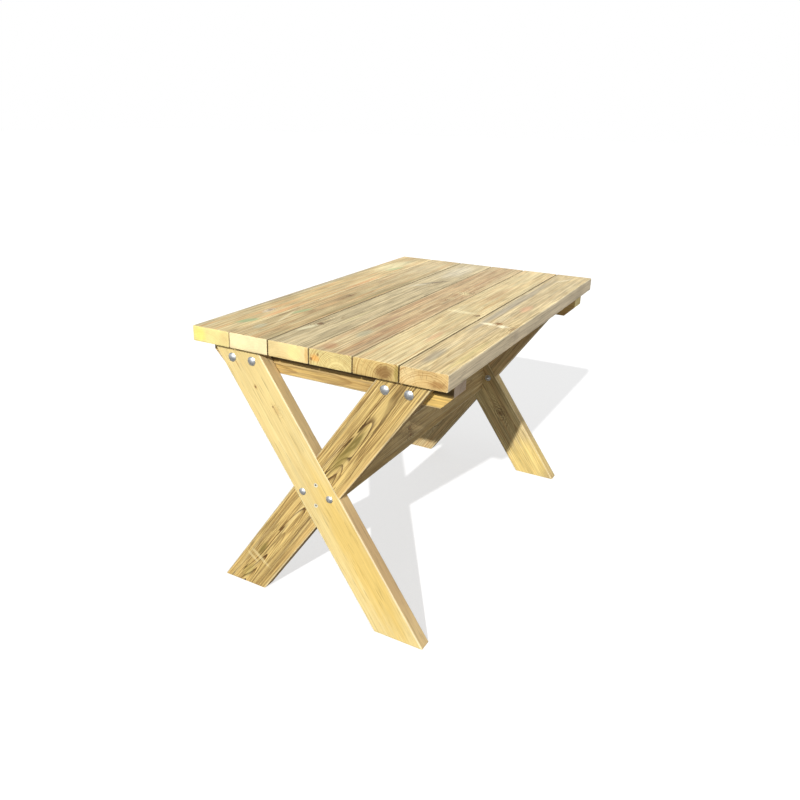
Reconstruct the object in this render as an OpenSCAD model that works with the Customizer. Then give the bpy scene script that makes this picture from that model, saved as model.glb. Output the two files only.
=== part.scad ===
// Timber picnic table: two crossed-leg frames joined by a stretcher, with a bearer
// behind each frame and a top of six planks laid along the table.
// X runs across the table, Y along it and Z up. The origin is on the ground, midway
// between the four feet. Sizes are in millimetres.

/* [Table] */
// Height of the top surface above the ground
table_h = 765; // [600:5:950]
// Length of the top, which is the length of each plank
table_l = 1200; // [800:10:2400]

/* [Planks] */
// Width of one plank
plank_w = 121; // [96:1:150]
// Thickness of one plank
plank_t = 42; // [36:1:60]
// Gap between two planks
plank_gap = 2; // [1:0.5:8]

/* [Legs] */
// Distance from the edge of the top in to the outer corner of a leg
leg_inset = 43; // [0:1:90]
// Width of the timber of a leg
leg_w = 118; // [95:1:145]
// Thickness of the timber of a leg
leg_t = 40; // [30:1:60]
// Distance from the ends of the planks in to the outer face of a frame
frame_inset = 26; // [0:1:150]
// Play on each side of the half-lap where the two legs cross
lap_play = 0.2; // [0.1:0.1:1]

/* [Bearers] */
// Width of a bearer, along the table
bearer_w = 70; // [50:1:100]
// Height of a bearer
bearer_h = 70; // [55:1:80]
// Distance from the edge of the top in to the end of a bearer
bearer_inset = 13; // [5:1:40]
// Size of the bevel on the lower corner of each end
bearer_bevel = 30; // [10:1:40]

/* [Stretcher] */
// Thickness of the stretcher
stretcher_t = 42; // [30:1:50]
// Height of the stretcher
stretcher_h = 100; // [80:1:130]
// How far the middle of the stretcher is below the middle of the leg crossing
stretcher_drop = 8; // [0:1:20]

/* [Edges] */
// Rounding along the edges of the timber
edge_r = 3; // [1:0.5:6]

/* [Leg bolts] */
// Diameter of the coach bolts that hold a leg to a bearer
leg_bolt_d = 10; // [8:1:12]
// Diameter of their round heads
leg_head_d = 24.6; // [20:0.2:30]
// Height of their round heads
leg_head_h = 5.4; // [4:0.1:7]
// Distance between the two bolts at the top of a leg
leg_bolt_pitch = 64; // [45:1:80]
// Diameter of their washers
leg_washer_d = 30; // [22:1:36]
// Width of their nuts across the flats
leg_nut_w = 17; // [14:1:19]
// Height of their nuts
leg_nut_h = 8; // [6:0.5:10]

/* [Crossing bolts] */
// Diameter of the coach bolts that clamp the half-lap
cross_bolt_d = 8; // [6:1:10]
// Diameter of their round heads
cross_head_d = 20.6; // [16:0.2:25]
// Height of their round heads
cross_head_h = 4.9; // [3.5:0.1:6]
// Distance between the two bolts at a crossing
cross_bolt_pitch = 84; // [76:1:92]
// Diameter of their washers
cross_washer_d = 24; // [18:1:30]
// Width of their nuts across the flats
cross_nut_w = 13; // [11:1:16]
// Height of their nuts
cross_nut_h = 6.5; // [5:0.5:8]

/* [Bolt fits] */
// Gap all round a bolt in its hole
bolt_play = 0.5; // [0.2:0.1:1.5]
// Gap all round a bolt in its nut, where the threads mesh
thread_play = 0.1; // [0.05:0.05:0.3]
// Thickness of the washers
washer_t = 2; // [1:0.5:3]
// Height of the square neck under a bolt's head
neck_h = 6; // [4:0.5:8]
// Height of the straight rim of a bolt's head, below its dome
head_rim = 1; // [0.5:0.1:2]
// Length of thread that stands out of a nut
thread_end = 5; // [2:1:12]

/* [Screws] */
// Diameter of the wood screws
screw_d = 6; // [4:0.5:8]
// How deep a plank screw goes into its plank
plank_bite = 30; // [20:1:34]
// How deep a stretcher screw goes into the end of the stretcher
stretcher_bite = 60; // [40:1:90]
// Diameter of their countersunk heads
screw_head_d = 12; // [9:0.5:14]
// Width of the flat at a screw's point
screw_point_d = 1; // [0.5:0.5:2]
// Width of the star-shaped drive in a screw's head, over its points
drive_w = 6; // [4:0.5:7]
// Depth of that drive
drive_h = 2; // [1:0.5:4]
// Gap all round a screw in its hole
screw_play = 0.1; // [0.1:0.05:0.5]
// Distance between the two screws in each end of the stretcher
stretcher_screw_pitch = 60; // [40:1:70]
// Distance between the two screws that hold a plank to a bearer
plank_screw_pitch = 50; // [30:1:60]
// Least distance from the middle of a plank screw to the middle of a leg bolt
screw_to_bolt = 14; // [12:1:20]

/* [Hidden] */
$fn = 48;
DOME_FN = 96;
PLANKS = 6;

// Colours of the materials
TOP_WOOD = "#c9b083";
LEG_WOOD = "#d8ba78";
INNER_WOOD = "#b79a67";
ZINC = "#b9bec4";
SCREW_ZINC = "#b4b5b0";

// How far a cutting shape runs past the surface that it cuts
cut_past = 1;

// Top
plank_pitch = plank_w + plank_gap;
top_w = PLANKS * plank_pitch - plank_gap;
frame_w = top_w - 2 * leg_inset;
leg_h = table_h - plank_t;

// A leg slants between two level cuts. This is the length of such a cut, so that the
// leg is leg_w wide and its outer corners are frame_w apart, one up and one down.
leg_cut = (leg_w * sqrt((leg_h ^ 2 - leg_w ^ 2) * (frame_w ^ 2 + leg_h ^ 2) + (leg_w * frame_w) ^ 2)
    - leg_w ^ 2 * frame_w) / (leg_h ^ 2 - leg_w ^ 2);
leg_run = frame_w - leg_cut;
lean = atan(leg_run / leg_h);
leg_blank_l = leg_h / cos(lean) + 2 * leg_w * tan(lean);

// Heights and places in a frame, with Y measured from its outer face
bearer_z = leg_h - bearer_h / 2;
bearer_y = leg_t + bearer_w / 2;
bearer_l = top_w - 2 * bearer_inset;
stretcher_z = leg_h / 2 - stretcher_drop;
stretcher_l = table_l - 2 * (frame_inset + leg_t);
leg_mid_x = leg_run * (bearer_z / leg_h - 1 / 2);
leg_bolt_xs = [for (leg = [-1, 1], bolt = [-1, 1]) leg * leg_mid_x + bolt * leg_bolt_pitch / 2];
cross_bolt_xs = [-cross_bolt_pitch / 2, cross_bolt_pitch / 2];
stretcher_screw_zs = [for (end = [-1, 1]) stretcher_z + end * stretcher_screw_pitch / 2];

// Lengths of wood that the bolts pass through
leg_grip = leg_t + bearer_w;
cross_grip = leg_t;

// The two screws in a plank stand equally far from its middle. One that would meet a
// leg bolt moves aside, and the outermost stays on the flat underside of the bearer.
screw_head_h = (screw_head_d - screw_d) / 2;
plank_screw_l = bearer_h + plank_bite;
stretcher_screw_l = leg_t + stretcher_bite;
last_screw_x = bearer_l / 2 - bearer_bevel - screw_head_d;
plank_screw_xs = [
    for (i = [1:PLANKS], side = [-1, 1])
        on_flat(beside_bolts(plank_x(i) + side * plank_screw_pitch / 2))
];

function plank_x(i) = (i - (PLANKS + 1) / 2) * plank_pitch;
function on_flat(x) = sign(x) * min(abs(x), last_screw_x);
function beside_bolts(x) =
    let (met = [for (bolt_x = leg_bolt_xs) if (abs(x - bolt_x) < screw_to_bolt) bolt_x])
    len(met) == 0 ? x : met[0] + (x < met[0] ? -screw_to_bolt : screw_to_bolt);

// ---- Places ----

// Puts a frame's own shapes at the near end, or turned round at the far end
module at_end(far) {
    rotate(far ? 180 : 0) translate([0, frame_inset - table_l / 2, 0]) children();
}

// Points along +Y from the outer face of a frame, at each x and z given
module at_points(xs, zs) {
    for (x = xs, z = zs) translate([x, 0, z]) rotate([-90, 0, 0]) children();
}

module at_leg_bolts() {
    at_points(leg_bolt_xs, [bearer_z]) children();
}

module at_cross_bolts() {
    at_points(cross_bolt_xs, [stretcher_z]) children();
}

module at_stretcher_screws() {
    at_points([0], stretcher_screw_zs) children();
}

// Points straight up from the underside of a bearer
module at_plank_screws() {
    for (x = plank_screw_xs) translate([x, bearer_y, leg_h - bearer_h]) children();
}

// Turns a shape from upright to the slant of a leg: 1 leans up to -X, -1 up to +X
module slanted(way) {
    translate([0, leg_t / 2, leg_h / 2]) rotate([0, -way * lean, 0]) children();
}

// ---- Timber ----

// Section of planed timber with rounded corners
module timber_section(w, t) {
    square([w - 2 * edge_r, t], center = true);
    square([w, t - 2 * edge_r], center = true);
    for (x = [-1, 1], y = [-1, 1])
        translate([x * (w / 2 - edge_r), y * (t / 2 - edge_r)]) circle(r = edge_r);
}

// Straight timber standing on end, w across X and t across Y
module timber(w, t, l) {
    linear_extrude(height = l, center = true) timber_section(w, t);
}

// ---- Fasteners, pointing along +Z from the surface under their heads ----

module coach_bolt(d, head_d, head_h, l) {
    dome_h = head_h - head_rim;
    dome_r = ((head_d / 2) ^ 2 + dome_h ^ 2) / (2 * dome_h);
    color(ZINC) {
        cylinder(d = d, h = l);
        translate([-d / 2, -d / 2, 0]) cube([d, d, neck_h]);
        translate([0, 0, -head_rim]) cylinder(d = head_d, h = head_rim);
        intersection() {
            translate([0, 0, dome_r - head_h]) sphere(r = dome_r, $fn = DOME_FN);
            translate([0, 0, -head_h]) cylinder(d = head_d, h = dome_h);
        }
    }
}

// Hole for a coach bolt, with a square socket for its neck
module bolt_hole(d, grip) {
    hole_d = d + 2 * bolt_play;
    translate([0, 0, -cut_past]) cylinder(d = hole_d, h = grip + 2 * cut_past);
    translate([-hole_d / 2, -hole_d / 2, -cut_past])
        cube([hole_d, hole_d, neck_h + bolt_play + cut_past]);
}

module washer(d, outer_d) {
    color(ZINC) difference() {
        cylinder(d = outer_d, h = washer_t);
        translate([0, 0, -cut_past]) cylinder(d = d + 2 * bolt_play, h = washer_t + 2 * cut_past);
    }
}

module nut(d, across_flats, h) {
    color(ZINC) difference() {
        cylinder(d = across_flats / cos(30), h = h, $fn = 6);
        translate([0, 0, -cut_past]) cylinder(d = d + 2 * thread_play, h = h + 2 * cut_past);
    }
}

module screw(l) {
    tip_l = screw_d;
    color(SCREW_ZINC) difference() {
        union() {
            cylinder(d1 = screw_head_d, d2 = screw_d, h = screw_head_h);
            cylinder(d = screw_d, h = l - tip_l);
            translate([0, 0, l - tip_l])
                cylinder(d1 = screw_d, d2 = screw_point_d, h = tip_l);
        }
        translate([0, 0, -cut_past]) linear_extrude(height = drive_h + cut_past)
            for (turn = [0, 60]) rotate(turn) circle(d = drive_w, $fn = 3);
    }
}

// Hole for a screw, countersunk where its head lies
module screw_hole(l) {
    hole_d = screw_d + 2 * screw_play;
    sink_d = screw_head_d + 2 * screw_play;
    translate([0, 0, -cut_past]) cylinder(d = hole_d, h = l + screw_play + cut_past);
    cylinder(d1 = sink_d, d2 = hole_d, h = (sink_d - hole_d) / 2);
}

// ---- Pieces ----

module top_plank(i) {
    color(TOP_WOOD) difference() {
        translate([plank_x(i), 0, table_h - plank_t / 2])
            rotate([90, 0, 0]) timber(plank_w, plank_t, table_l);
        for (far = [false, true]) at_end(far) at_plank_screws() screw_hole(plank_screw_l);
    }
}

// One leg of a crossed frame. The outer leg leans up to -X and keeps its outer half
// through the half-lap; the inner leg leans the other way and keeps its inner half.
module leg(outer) {
    way = outer ? 1 : -1;
    color(LEG_WOOD) difference() {
        intersection() {
            slanted(way) timber(leg_w, leg_t, leg_blank_l);
            translate([-frame_w, -cut_past, 0]) cube([2 * frame_w, leg_t + 2 * cut_past, leg_h]);
        }
        slanted(-way) translate([-leg_w / 2 - lap_play, outer ? 0 : -leg_t, -leg_blank_l / 2])
            cube([leg_w + 2 * lap_play, leg_t, leg_blank_l]);
        at_leg_bolts() bolt_hole(leg_bolt_d, leg_grip);
        at_cross_bolts() bolt_hole(cross_bolt_d, cross_grip);
        at_stretcher_screws() screw_hole(stretcher_screw_l);
    }
}

module bearer() {
    color(INNER_WOOD) difference() {
        intersection() {
            translate([0, bearer_y, bearer_z]) rotate([0, 90, 0]) timber(bearer_h, bearer_w, bearer_l);
            translate([0, leg_grip + cut_past, leg_h - bearer_h]) rotate([90, 0, 0])
                linear_extrude(height = bearer_w + 2 * cut_past) bearer_outline();
        }
        at_leg_bolts() bolt_hole(leg_bolt_d, leg_grip);
        at_plank_screws() screw_hole(plank_screw_l);
    }
}

// Side view of a bearer, with its lower corners bevelled
module bearer_outline() {
    end = bearer_l / 2;
    polygon([
        [-end + bearer_bevel, 0], [end - bearer_bevel, 0], [end, bearer_bevel],
        [end, bearer_h], [-end, bearer_h], [-end, bearer_bevel]
    ]);
}

module stretcher() {
    color(INNER_WOOD) difference() {
        translate([0, 0, stretcher_z]) rotate([90, 0, 0]) timber(stretcher_t, stretcher_h, stretcher_l);
        for (far = [false, true]) at_end(far) at_stretcher_screws() screw_hole(stretcher_screw_l);
    }
}

module leg_bolts() {
    at_leg_bolts() coach_bolt(leg_bolt_d, leg_head_d, leg_head_h,
        leg_grip + washer_t + leg_nut_h + thread_end);
}

module leg_washers() {
    at_leg_bolts() translate([0, 0, leg_grip]) washer(leg_bolt_d, leg_washer_d);
}

module leg_nuts() {
    at_leg_bolts() translate([0, 0, leg_grip + washer_t]) nut(leg_bolt_d, leg_nut_w, leg_nut_h);
}

module cross_bolts() {
    at_cross_bolts() coach_bolt(cross_bolt_d, cross_head_d, cross_head_h,
        cross_grip + washer_t + cross_nut_h + thread_end);
}

module cross_washers() {
    at_cross_bolts() translate([0, 0, cross_grip]) washer(cross_bolt_d, cross_washer_d);
}

module cross_nuts() {
    at_cross_bolts() translate([0, 0, cross_grip + washer_t])
        nut(cross_bolt_d, cross_nut_w, cross_nut_h);
}

module stretcher_screws() {
    at_stretcher_screws() screw(stretcher_screw_l);
}

module plank_screws() {
    at_plank_screws() screw(plank_screw_l);
}

top_plank(1);  // top_plank_1
top_plank(2);  // top_plank_2
top_plank(3);  // top_plank_3
top_plank(4);  // top_plank_4
top_plank(5);  // top_plank_5
top_plank(6);  // top_plank_6
at_end(false) leg(true);  // near_outer_leg
at_end(false) leg(false);  // near_inner_leg
at_end(true) leg(true);  // far_outer_leg
at_end(true) leg(false);  // far_inner_leg
at_end(false) bearer();  // near_bearer
at_end(true) bearer();  // far_bearer
stretcher();
at_end(false) leg_bolts();  // near_leg_bolts
at_end(false) leg_washers();  // near_leg_washers
at_end(false) leg_nuts();  // near_leg_nuts
at_end(true) leg_bolts();  // far_leg_bolts
at_end(true) leg_washers();  // far_leg_washers
at_end(true) leg_nuts();  // far_leg_nuts
at_end(false) cross_bolts();  // near_cross_bolts
at_end(false) cross_washers();  // near_cross_washers
at_end(false) cross_nuts();  // near_cross_nuts
at_end(true) cross_bolts();  // far_cross_bolts
at_end(true) cross_washers();  // far_cross_washers
at_end(true) cross_nuts();  // far_cross_nuts
at_end(false) stretcher_screws();  // near_stretcher_screws
at_end(true) stretcher_screws();  // far_stretcher_screws
at_end(false) plank_screws();  // near_plank_screws
at_end(true) plank_screws();  // far_plank_screws
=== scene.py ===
"""Looks of the timber picnic table, built round its CAD frame. Lengths are in metres.

Each length of timber is a dense mesh with eased edges and slight waves, bored and lapped as
the real one is, with a solid wood material of its own. Bolts, nuts, washers and screws come
from node trees that make one and repeat it at the places of the CAD solids.
"""
import math
from functools import partialmethod

import bmesh
import bpy
from mathutils import Euler, Matrix, Vector, noise


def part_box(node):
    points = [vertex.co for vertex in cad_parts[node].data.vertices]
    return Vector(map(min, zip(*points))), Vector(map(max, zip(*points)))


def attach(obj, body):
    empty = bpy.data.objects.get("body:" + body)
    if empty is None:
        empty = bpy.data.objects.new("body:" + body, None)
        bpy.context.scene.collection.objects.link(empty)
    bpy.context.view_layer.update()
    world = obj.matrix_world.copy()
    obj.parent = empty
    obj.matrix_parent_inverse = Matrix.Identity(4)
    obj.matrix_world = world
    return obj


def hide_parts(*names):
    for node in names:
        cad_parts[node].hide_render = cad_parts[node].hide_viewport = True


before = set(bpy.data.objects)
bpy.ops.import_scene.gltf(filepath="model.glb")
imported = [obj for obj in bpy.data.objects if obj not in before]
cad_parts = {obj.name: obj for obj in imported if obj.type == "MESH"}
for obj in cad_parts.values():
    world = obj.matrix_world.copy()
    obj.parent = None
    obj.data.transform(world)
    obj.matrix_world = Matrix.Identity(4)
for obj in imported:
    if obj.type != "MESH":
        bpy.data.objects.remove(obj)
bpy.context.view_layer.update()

# ---- Driving dimensions ----

# Timber, holes and fasteners, as the CAD parts have them.
PLANKS = ["top_plank_%d" % number for number in range(1, 7)]
LEG_W = 0.118
EDGE_R = 0.003
LAP_PLAY = 0.0002
BEVEL = 0.030
BOLT_PLAY = 0.0005
SCREW_PLAY = 0.0001
LEG_BOLT_D = 0.010
CROSS_BOLT_D = 0.008
SCREW_D = 0.006
SCREW_HEAD_D = 0.012
DRIVE_W, DRIVE_H = 0.006, 0.002
HEAD_RIM = 0.001
NUT_ROOM = 0.0001

# How fine a timber's mesh is, and how far planing and wear move its faces and edges.
RING_STEP = 0.008
SIDE_STEP = 0.006
ARC_STEPS = 4
END_EASE = 0.0012
WAVE, SIDE_WAVE = 0.0005, 0.0002
CHIP = 0.0012
SMOOTH_ANGLE = math.radians(38)

# Threads.
PITCH_M10, PITCH_M8, SCREW_PITCH = 0.0015, 0.00125, 0.0026
THREAD_L = 0.024

# Where a dark joint, and the painted shade of a side face, begin and are full, in from that face.
JOINT_FROM, JOINT_TO = 0.0019, 0.0008
SHADED_SIDE_FROM, SHADED_SIDE_TO = 0.0014, 0.0006

# Lamps, floor and camera. Angles are in degrees.
SUN_TRAVEL = (-0.394, 2.0, -1.16)
SUN_POWER, ROOM_POWER, SHEEN_POWER = 4.3, 0.50, 0.85
SIDE_TRAVEL = (-1.0, 0.2, -0.3)
SIDE_POWER = 0.7
FLOOR_GLOW = 0.60
WOOD_SHEEN = 0.35
CAMERA_PLACE = (0.968, -1.9956, 1.2964)
CAMERA_TILT, CAMERA_TURN, CAMERA_ROLL = 19.72, 30.274, 0.774


# ---- Node helpers ----

def paint(code):
    """A colour such as c8b080 as the linear RGBA that a shader takes."""
    parts = [int(code[i:i + 2], 16) / 255 for i in (0, 2, 4)]
    return tuple(c / 12.92 if c < 0.04045 else ((c + 0.055) / 1.055) ** 2.4 for c in parts) + (1.0,)


class Graph:
    """Adds nodes to one tree. An input is a plain value or another node's output."""

    def __init__(self, tree):
        self.tree = tree

    def add(self, kind, values=None, **settings):
        node = self.tree.nodes.new(kind)
        for key, value in settings.items():
            setattr(node, key, value)
        for key, value in (values or {}).items():
            self.put(node.inputs[key], value)
        return node

    def put(self, socket, value):
        if isinstance(value, bpy.types.NodeSocket):
            self.tree.links.new(value, socket)
        else:
            socket.default_value = value

    def math(self, operation, a, b=0.0, c=0.0):
        values = {0: a, 1: b, 2: c}
        return self.add("ShaderNodeMath", values, operation=operation).outputs[0]

    plus = partialmethod(math, "ADD")
    minus = partialmethod(math, "SUBTRACT")
    over = partialmethod(math, "DIVIDE")
    times_plus = partialmethod(math, "MULTIPLY_ADD")

    def times(self, first, *others):
        for other in others:
            first = self.math("MULTIPLY", first, other)
        return first

    def vector(self, operation, a, b=(0, 0, 0)):
        return self.add("ShaderNodeVectorMath", {0: a, 1: b}, operation=operation).outputs[0]

    def scaled(self, a, factor):
        node = self.add("ShaderNodeVectorMath", {0: a, "Scale": factor}, operation="SCALE")
        return node.outputs[0]

    def length(self, a):
        return self.add("ShaderNodeVectorMath", {0: a}, operation="LENGTH").outputs["Value"]

    def dot(self, a, b):
        return self.add("ShaderNodeVectorMath", {0: a, 1: b}, operation="DOT_PRODUCT").outputs["Value"]

    def split(self, a):
        return self.add("ShaderNodeSeparateXYZ", {0: a}).outputs

    def join(self, x, y, z):
        return self.add("ShaderNodeCombineXYZ", {0: x, 1: y, 2: z}).outputs[0]

    def step(self, value, low, high, to_low=0.0, to_high=1.0):
        """A smooth step from to_low to to_high as value goes from low to high."""
        values = {"Value": value, "From Min": low, "From Max": high, "To Min": to_low, "To Max": to_high}
        return self.add("ShaderNodeMapRange", values, interpolation_type="SMOOTHSTEP").outputs[0]

    def noise(self, place, stretch, detail=2.0, rough=0.5, output="Fac"):
        """Noise over place times stretch, so that a small stretch makes long shapes."""
        values = {"Vector": self.vector("MULTIPLY", place, stretch), "Scale": 1.0, "Detail": detail,
                  "Roughness": rough}
        return self.add("ShaderNodeTexNoise", values).outputs[output]

    def wobble(self, place, stretch, detail, rough):
        """A smooth random shift, up to half a unit each way."""
        return self.vector("SUBTRACT", self.noise(place, stretch, detail, rough, "Color"), (0.5,) * 3)

    def blend(self, share, a, b, mode="MIX"):
        values = {0: share, 6: a, 7: b}
        node = self.add("ShaderNodeMix", values, data_type="RGBA", blend_type=mode, clamp_factor=True)
        return node.outputs[2]

    def tint(self, colour, code, mask, strength):
        """The colour with another one laid over it where the mask is."""
        return self.blend(self.times(mask, strength), colour, paint(code))

    def dress(self, shader, colour, rough, height, strength, distance):
        """Gives a shader its colour, its roughness and the bumps of a height."""
        bump = self.add("ShaderNodeBump", {"Height": height, "Strength": strength, "Distance": distance})
        for key, value in (("Base Color", colour), ("Roughness", rough), ("Normal", bump.outputs[0])):
            self.put(shader.inputs[key], value)

    def group(self, tree, **values):
        node = self.add("ShaderNodeGroup", node_tree=tree)
        for key, value in titled(values).items():
            self.put(node.inputs[key], value)
        return node.outputs


def titled(values):
    """Gives each value the name of a socket: ring_width becomes Ring Width."""
    return {key.replace("_", " ").title(): value for key, value in values.items()}


def new_group(name, inputs, outputs, made="Float", kind="ShaderNodeTree"):
    """A node group with sockets named by type. Returns its graph, its inputs and its output node."""
    tree = bpy.data.node_groups.new(name, kind)
    for way, sockets in (("INPUT", inputs), ("OUTPUT", {made: outputs})):
        for socket, labels in sockets.items():
            for label in labels:
                tree.interface.new_socket(name=label, in_out=way, socket_type="NodeSocket" + socket)
    graph = Graph(tree)
    return graph, graph.add("NodeGroupInput").outputs, graph.add("NodeGroupOutput").inputs


# ---- Shader groups for wood, over places in a timber's own frame ----
# X runs across the timber, Y along the grain and Z through it.

def seeded(graph, place, seed):
    """The place moved far off by the seed, so that two timbers never share a pattern."""
    return graph.vector("ADD", place, graph.scaled((7.31, 3.17, 5.93), seed))


def stem_group():
    """Counts growth rings outwards from a pith that leans and wanders through the timber."""
    g, i, o = new_group("Stem", {"Vector": ["Position", "Pith", "Lean"],
                                 "Float": ["Ring Width", "Wander", "Ragged", "Seed"]}, ["Rings", "Rays"])
    place = seeded(g, i["Position"], i["Seed"])
    drift = g.wobble(place, (3.0, 1.7, 3.0), 2.0, 0.5)
    along = g.split(i["Position"])["Y"]
    off = g.vector("SUBTRACT", i["Position"], i["Pith"])
    off = g.vector("SUBTRACT", off, g.scaled(i["Lean"], along))
    off = g.vector("ADD", off, g.scaled(drift, i["Wander"]))
    off = g.vector("MULTIPLY", off, (1, 0, 1))
    radius = g.over(g.length(off), i["Ring Width"])
    uneven = g.add("ShaderNodeTexNoise", {"W": g.plus(g.times(radius, 0.45), i["Seed"]),
                                          "Scale": 1.0, "Detail": 1.0}, noise_dimensions="1D").outputs[0]
    ragged = g.noise(place, (55, 5, 55), 3.0, 0.6)
    rings = g.times_plus(uneven, 2.6, radius)
    g.put(o["Rings"], g.times_plus(ragged, i["Ragged"], rings))
    parts = g.split(off)
    angle = g.math("ARCTAN2", parts["X"], parts["Z"])
    spokes = g.join(g.times(angle, 26.0), g.times(radius, 0.16), i["Seed"])
    rays = g.add("ShaderNodeTexNoise", {"Vector": spokes, "Scale": 1.0, "Detail": 3.0}).outputs[0]
    g.put(o["Rays"], g.step(rays, 0.56, 0.72))
    return g.tree


def ring_group():
    """Turns a count of rings into dark latewood lines that fade in and end sharply."""
    g, i, o = new_group("Ring Lines", {"Float": ["Rings", "Sharpness", "Seed"]}, ["Late"])
    part = g.math("FRACT", i["Rings"])
    late = g.times(g.step(part, 0.30, 0.88), g.step(part, 0.90, 1.0, 1.0, 0.0))
    late = g.math("POWER", late, i["Sharpness"])
    number = g.plus(g.math("FLOOR", i["Rings"]), i["Seed"])
    each = g.add("ShaderNodeTexWhiteNoise", {"W": number}, noise_dimensions="1D").outputs["Value"]
    g.put(o["Late"], g.times(late, g.times_plus(each, 0.75, 0.35)))
    return g.tree


def fibre_group():
    """Fine fibres, long streaks, broad bands, short pores and blotches, all along the grain."""
    g, i, o = new_group("Fibre", {"Vector": ["Position"], "Float": ["Seed"]},
                        ["Fine", "Streak", "Band", "Lines", "Pores", "Blotch"])
    place = seeded(g, i["Position"], i["Seed"])
    g.put(o["Fine"], g.noise(place, (330, 5.5, 330), 4.0, 0.65))
    g.put(o["Streak"], g.noise(place, (85, 2.4, 85), 5.0, 0.62))
    g.put(o["Band"], g.noise(place, (21, 0.9, 21), 3.0, 0.55))
    curls = g.math("ABSOLUTE", g.minus(g.noise(place, (120, 2.6, 120), 3.0, 0.6), 0.5))
    g.put(o["Lines"], g.step(curls, 0.005, 0.065, 1.0, 0.0))
    g.put(o["Pores"], g.step(g.noise(place, (210, 13, 210), 2.0), 0.60, 0.70))
    g.put(o["Blotch"], g.noise(place, (17, 5.0, 17), 4.0, 0.6))
    return g.tree


def patch_group():
    """A soft oval patch with streaky edges."""
    g, i, o = new_group("Patch", {"Vector": ["Position", "Centre", "Size"], "Float": ["Slant", "Seed"]},
                        ["Mask"])
    off = g.vector("SUBTRACT", i["Position"], i["Centre"])
    off = g.vector("SUBTRACT", off, g.join(g.times(g.split(off)["Y"], i["Slant"]), 0.0, 0.0))
    off = g.vector("DIVIDE", off, i["Size"])
    place = seeded(g, i["Position"], i["Seed"])
    off = g.vector("ADD", off, g.scaled(g.wobble(place, (75, 11, 75), 4.0, 0.6), 0.8))
    g.put(o["Mask"], g.step(g.length(off), 0.35, 1.0, 1.0, 0.0))
    return g.tree


def knot_group():
    """A knot through the timber: how far it lifts the rings, its core, its rim and its halo."""
    g, i, o = new_group("Knot", {"Vector": ["Position", "Centre"], "Float": ["Radius", "Stretch", "Seed"]},
                        ["Swell", "Core", "Rim", "Halo", "Rings", "Arcs"])
    off = g.vector("SUBTRACT", i["Position"], i["Centre"])
    off = g.scaled(off, g.over(1.0, i["Radius"]))
    place = seeded(g, off, i["Seed"])
    rough = g.wobble(place, (0.7, 0.45, 0.1), 3.0, 0.6)
    parts = g.split(g.vector("ADD", off, g.scaled(rough, 1.5)))
    near = g.length(g.join(parts["X"], g.over(parts["Y"], i["Stretch"]), 0.0))
    parts = g.split(g.vector("ADD", off, g.scaled(rough, 0.35)))
    wide = g.length(g.join(parts["X"], g.over(parts["Y"], g.times(i["Stretch"], 2.4)), 0.0))
    g.put(o["Swell"], g.math("EXPONENT", g.times(wide, wide, -0.22)))
    g.put(o["Core"], g.step(near, 0.6, 1.15, 1.0, 0.0))
    broken = g.step(g.noise(place, (1.1, 0.8, 0.1), 2.0), 0.40, 0.58)
    rim = g.times(g.step(near, 0.65, 0.95), g.step(near, 1.0, 1.3, 1.0, 0.0))
    g.put(o["Rim"], g.times(rim, broken))
    g.put(o["Halo"], g.step(wide, 0.9, 3.0, 1.0, 0.0))
    g.put(o["Rings"], g.math("PINGPONG", g.times(near, 2.2), 0.5))
    curves = g.step(g.math("PINGPONG", g.times(near, 0.9), 0.5), 0.30, 0.47)
    around = g.times(g.step(near, 1.0, 1.3), g.step(near, 2.2, 3.6, 1.0, 0.0))
    g.put(o["Arcs"], g.times(curves, around, broken))
    return g.tree


def arris_group():
    """Marks the rounded long edges of a timber, where handling and weather wear it."""
    g, i, o = new_group("Arris", {"Vector": ["Position", "Half Size"], "Float": ["Radius", "Seed"]},
                        ["Mask"])
    place = seeded(g, i["Position"], i["Seed"])
    uneven = g.times_plus(g.noise(place, (30, 9, 30), 3.0), 1.4, 0.7)
    reach = g.times(i["Radius"], uneven)
    room = g.vector("SUBTRACT", i["Half Size"], g.vector("ABSOLUTE", i["Position"]))
    parts = g.split(room)
    nearness = [g.step(parts[axis], 0.0, reach, 1.0, 0.0) for axis in ("X", "Z")]
    g.put(o["Mask"], g.step(g.times(*nearness), 0.05, 0.5))
    return g.tree


STEM, RINGS, FIBRE = stem_group(), ring_group(), fibre_group()
PATCH, KNOT, ARRIS = patch_group(), knot_group(), arris_group()


# ---- Timber ----

class Timber:
    """One length of timber. Its own frame has X across, Y along the grain and Z through it."""

    def __init__(self, node, size, turn=(0, 0, 0), end_slope=0.0, lap_slope=0.0, slot="top_timber"):
        low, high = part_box(node)
        self.node, self.size, self.slot = node, Vector(size), slot
        self.end_slope, self.lap_slope = end_slope, lap_slope
        self.middle = (low + high) / 2
        self.turn = Euler([math.radians(a) for a in turn])
        self.place = Matrix.Translation(self.middle) @ self.turn.to_matrix().to_4x4()
        self.seed = float(len(TIMBERS)) + 1.0
        TIMBERS[node] = self


TIMBERS = {}


def spread(half, step):
    """Places from -half to half about a step apart, with one close to each end."""
    close = min(0.003, half / 3)
    count = max(1, round(2 * (half - close) / step))
    inner = [-half + close + 2 * (half - close) * k / count for k in range(count + 1)]
    return [-half] + inner + [half]


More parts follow.
